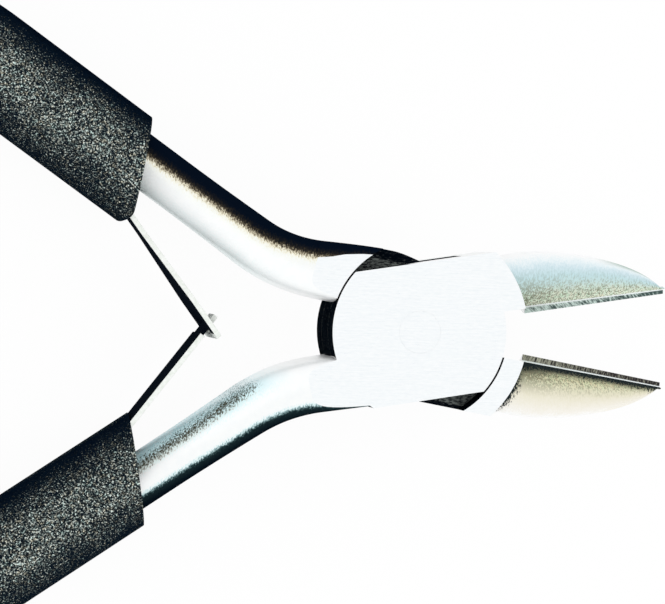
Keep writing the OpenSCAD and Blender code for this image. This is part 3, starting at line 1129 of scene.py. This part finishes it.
# Width of the cut-away corner on the neck half's outer side, by the length along the handle
CORNER_W = ((0, 0.6), (5, 0.66), (6.7, 0.74), (8.7, 0.88), (10.5, 1.15), (11.7, 1.5), (13.5, 1.8))
CORNER_SLOPE = 0.35
NECK_ROOT_LEAN = 0.2


def corner_cut(swell, upward):
    """What is missing along the outer corner of a root, as a three-sided bar."""
    rings = []
    face = MID_Z + upward * JOINT_T / 2
    for s in np.linspace(-START_X, CORNER_W[-1][0], CORNER_CUT_STEPS):
        p = along(s)
        settled = mix(ROOT_W, HANDLE_W, ease(s / (MOUTH_S * SETTLE)))
        rim = settled / 2 + swelling(s, swell)
        inner = rim - read_off(CORNER_W, s)
        corners = []
        far = rim + OVER
        for d, drop in ((inner - OVER, -OVER), (far, far - inner), (far, -OVER)):
            corners.append((*offset_point(p, d), face - upward * CORNER_SLOPE * drop))
        rings.append(corners if upward > 0 else corners[::-1])
    return loft("corner", rings, HALF_SLOTS, lambda j: HANDLE)


def neck_half():
    made = blank(NECK_SWELL, NECK_ROOT_LEAN)
    lap = CHEEK_T + FACE_GAP
    plate = prism("plate", band(CHEEK_R), lap, JOINT_T - lap, HALF_SLOTS, DARK, DARK)
    combine(made, plate, "UNION")
    outline = circle(CHEEK_R + SEAT_GAP)
    for low, high in ((-OVER, lap), (JOINT_T - lap, JOINT_T + OVER)):
        seat = prism("seat", outline, low, high, HALF_SLOTS, DARK, DARK)
        combine(made, seat, "DIFFERENCE")
    bore_pin(made)
    for upward in (1, -1):
        combine(made, place(corner_cut(NECK_SWELL, upward), mirrored=True), "DIFFERENCE")
    made.name = "neck_side_forging"
    place(made, -HALF_OPEN, mirrored=True)
    tag(made, mirrored=True)
    return smooth_by_angle(made)


# The way each leaf runs from its screw, and how far past the crossing it is drawn pale
SLOTTED_WAY = (0.6, -0.8, 0)
HOOKED_WAY = (0.74, 0.67, 0)
SLOTTED_PALE_PAST = 0.8
HOOKED_PALE_PAST = 0.3


def finish_steel():
    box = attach(box_half(), "box_side")
    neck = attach(neck_half(), "neck_side")
    for piece, node in ((box, "box_half"), (neck, "neck_half")):
        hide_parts(node)
    screws = screw_steel()
    slotted_from = -CROSS_X * SLOTTED_WAY[0] + SLOTTED_PALE_PAST
    hooked_from = -CROSS_X * HOOKED_WAY[0] + HOOKED_PALE_PAST
    slotted = spring_steel("slotted_spring_steel", slotted_from, SLOTTED_WAY)
    hooked = spring_steel("hooked_spring_steel", hooked_from, HOOKED_WAY)
    for node, finish in (
        ("pivot_pin", HALF_SLOTS[GROUND]),
        ("box_spring_screw", screws),
        ("neck_spring_screw", screws),
        ("slotted_spring", slotted),
        ("hooked_spring", hooked),
    ):
        part = frame["nodes"][node]
        part.data.materials.clear()
        part.data.materials.append(finish)


# Grips

def mouth_outline(corner_r):
    """What lies behind the flat mouth of a grip, with its inner corner rounded."""
    inner = offset_point(along(MOUTH_S), -GRIP_SHIFT - GRIP_W / 2)
    lean = math.tan(math.radians(SPLAY))
    corner = (-GRIP_X, inner[1] + (-GRIP_X - inner[0]) * -lean)
    far = [(-HANDLE_L - 2 * GRIP_W, HANDLE_L), (-HANDLE_L - 2 * GRIP_W, -HANDLE_L)]
    if corner_r == 0:
        return [(-GRIP_X, HANDLE_L), *far, (-GRIP_X, -HANDLE_L)]
    half_corner = (90 - SPLAY) / 2
    middle = (-GRIP_X - corner_r, corner[1] + corner_r / math.tan(math.radians(half_corner)))
    turned = 180 - 2 * half_corner
    arc = []
    for i in range(CORNER_STEPS, -1, -1):
        a = -turned * i / CORNER_STEPS
        arc.append((middle[0] + corner_r * cos(a), middle[1] + corner_r * sin(a)))
    tail = (arc[0][0] - MOUTH_RUN, arc[0][1] + MOUTH_RUN * lean)
    return [(-GRIP_X, HANDLE_L), *far, (tail[0], -HANDLE_L), tail, *arc]


def grip(name, finish, mirrored, corner_r, back):
    """A foam sleeve with a domed end. Its mouth is cut flat, and lies back from the drawn line."""
    dome_s = HANDLE_S + GRIP_END - GRIP_W / 2
    places = []
    for i in range(GRIP_STEPS + 1):
        places.append((mix(MOUTH_S - GRIP_W / 2, dome_s, i / GRIP_STEPS), 1.0))
    for i in range(1, DOME_STEPS + 1):
        a = DOME_END * i / DOME_STEPS
        places.append((dome_s + GRIP_W / 2 * sin(a), cos(a)))
    rings = []
    for s, size in places:
        w, t = GRIP_W / 2 * size, GRIP_T / 2 * size
        rings.append(ring(s, w, t, FOAM_SQUARE, GRIP_SIDES, -GRIP_SHIFT))
    made = loft(name, rings, [finish])
    mouth = prism("mouth", mouth_outline(corner_r), -GRIP_T, 2 * GRIP_T, [finish])
    for v in mouth.data.vertices:
        v.co.x -= back * MM + MOUTH_LEAN * (v.co.z - MID_Z * MM)
    combine(made, mouth, "INTERSECT")
    combine(made, handle(grow=BORE_FIT), "DIFFERENCE")
    while len(made.data.materials) > 1:
        made.data.materials.pop(index=1)
    made.data.polygons.foreach_set("material_index", [0] * len(made.data.polygons))
    place(made, -HALF_OPEN if mirrored else HALF_OPEN, mirrored=not mirrored)
    store_painted_light(made, mirrored)
    return smooth_by_angle(made, FOAM_SHARP)


# Painted shading across a grip, as how light the foam is drawn, from -1 on its -Y side to 1 on its
# +Y side
PAINTED_FOAM_LIGHT = (
    (-1, 0.5),
    (-0.93, 0.66),
    (-0.77, 0.77),
    (-0.6, 0.83),
    (-0.5, 0.88),
    (-0.35, 0.99),
    (0.1, 0.97),
    (0.3, 0.93),
    (0.42, 0.85),
    (0.5, 0.79),
    (0.62, 0.72),
    (0.72, 0.57),
    (0.83, 0.3),
    (0.9, 0),
    (1, 0),
)
# Painted light on the narrow sides, and how far the painted shading is shifted on the box half
SIDE_PAINTED_LIGHT = 0.6
BOX_PAINTED_LIGHT_SHIFT = 0.12
# A surface counts as a narrow side where it rises by less than this, and fully so past the fade
SIDE_RISE = 0.28
SIDE_FADE = 0.24


def store_painted_light(made, mirrored):
    """Painted shading of the foam: lighter over its broad sides and along its narrow ones, darkest
    where they meet at +Y.
    """
    painted_light = []
    for v, (_, d) in zip(made.data.vertices, lie_on_line(made, mirrored)):
        off = (d + GRIP_SHIFT) / (GRIP_W / 2)
        side = SIDE_PAINTED_LIGHT * ease((SIDE_RISE - abs(v.normal.z)) / SIDE_FADE)
        painted_light.append(max(side, read_off(PAINTED_FOAM_LIGHT, off if mirrored else -off - BOX_PAINTED_LIGHT_SHIFT)))
    store(made, "painted_light", painted_light)


def finish_grips():
    finish = foam()
    for node, body, mirrored, corner_r, back in (
        ("box_grip", "box_side", False, 0, BOX_MOUTH_BACK),
        ("neck_grip", "neck_side", True, CORNER_R, NECK_MOUTH_BACK),
    ):
        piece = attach(grip(node + "_foam", finish, mirrored, corner_r, back), body)
        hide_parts(node)


# Stage

PHOTO_W = 665
LENS_PX = 2582
TARGET = (-8.14, 2.65, 4)
DISTANCE = 258.2
TILT_X, TILT_Y, ROLL = 11.59, -0.88, 1.96
FLOOR_Z = -1.3
LAMP_AT = (-20, -60, 600)
LAMP_SIZE = 500
LAMP_POWER = 0.2
SENSOR_W = 36
CLIP_START = 0.01
CLIP_END = 100
FLOOR_REACH = 3000
FLOOR_TONE = (0.96, 0.96, 0.96, 1)
FLOOR_ROUGHNESS = 0.9
# How much of the floor is pure white where it is seen or mirrored. The rest keeps the shadow
FLOOR_WHITE = 0.95
# The studio's light from low on the side of +Y to high on the side of -Y
STUDIO_UP = (0, -0.6, 0.8)
STUDIO_STOPS = [
    (0.0, (0.94, 0.95, 0.96)),
    (0.12, (0.96, 0.965, 0.97)),
    (0.36, (0.99, 0.99, 0.985)),
    (0.6, (1, 1, 1)),
    (1.0, (0.98, 1, 1)),
]


def camera():
    data = bpy.data.cameras.new("camera")
    data.sensor_width = SENSOR_W
    data.lens = LENS_PX / PHOTO_W * data.sensor_width
    made = bpy.data.objects.new("camera", data)
    bpy.context.scene.collection.objects.link(made)
    look = Vector((sin(TILT_X) * cos(TILT_Y), sin(TILT_Y), -cos(TILT_X) * cos(TILT_Y)))
    right = look.cross(Vector((0, 1, 0))).normalized()
    up = right.cross(look)
    rolled_right = cos(ROLL) * right + sin(ROLL) * up
    rolled_up = -sin(ROLL) * right + cos(ROLL) * up
    at = Vector(TARGET) * MM - look * DISTANCE * MM
    axes = Matrix((rolled_right, rolled_up, -look)).transposed().to_4x4()
    made.matrix_world = Matrix.Translation(at) @ axes
    data.clip_start = CLIP_START
    data.clip_end = CLIP_END
    bpy.context.scene.camera = made


def floor():
    """A floor that shows white, with a faint shadow, and lights the tool from below."""
    n = new_material("floor")
    n.surface({"Base Color": FLOOR_TONE, "Roughness": FLOOR_ROUGHNESS})
    white = n.add("ShaderNodeEmission", {"Strength": 1.0})
    ray = n.add("ShaderNodeLightPath").outputs
    mirrored = n.most(ray["Is Glossy Ray"], ray["Is Transmission Ray"])
    seen = n.most(ray["Is Camera Ray"], mirrored)
    lit = n.tree.nodes["Principled BSDF"]
    n.show("Material Output", n.times(seen, FLOOR_WHITE), lit, white)
    outline = box_outline(-FLOOR_REACH, -FLOOR_REACH, FLOOR_REACH, FLOOR_REACH)
    corners = [(x, y, FLOOR_Z) for x, y in outline]
    mesh_object("floor", corners, [(0, 1, 2, 3)], [n.owner])


def world():
    """A white studio, a little cooler and dimmer low on the side of +Y."""
    made = bpy.data.worlds.new("studio")
    bpy.context.scene.world = made
    n = Nodes(made)
    lit = n.tree.nodes["Background"]
    height = n.reach(n.coordinates("Generated"), STUDIO_UP)
    n.feed(lit, "Color", n.ramp(height, STUDIO_STOPS))
    n.feed(lit, "Strength", 1.0)
    white = n.add("ShaderNodeBackground", {"Strength": 1.0})
    ray = n.add("ShaderNodeLightPath").outputs
    n.show("World Output", ray["Is Camera Ray"], lit, white)


def lamp():
    data = bpy.data.lights.new("overhead", "AREA")
    data.shape = "DISK"
    data.size = LAMP_SIZE * MM
    data.energy = LAMP_POWER
    made = bpy.data.objects.new("overhead", data)
    made.visible_glossy = False
    made.location = [c * MM for c in LAMP_AT]
    bpy.context.scene.collection.objects.link(made)
    way = Vector(TARGET) * MM - made.location
    made.rotation_euler = way.to_track_quat("-Z", "Y").to_euler()


camera()
floor()
world()
lamp()
finish_steel()
finish_grips()

bpy.context.scene.view_settings.view_transform = "Standard"
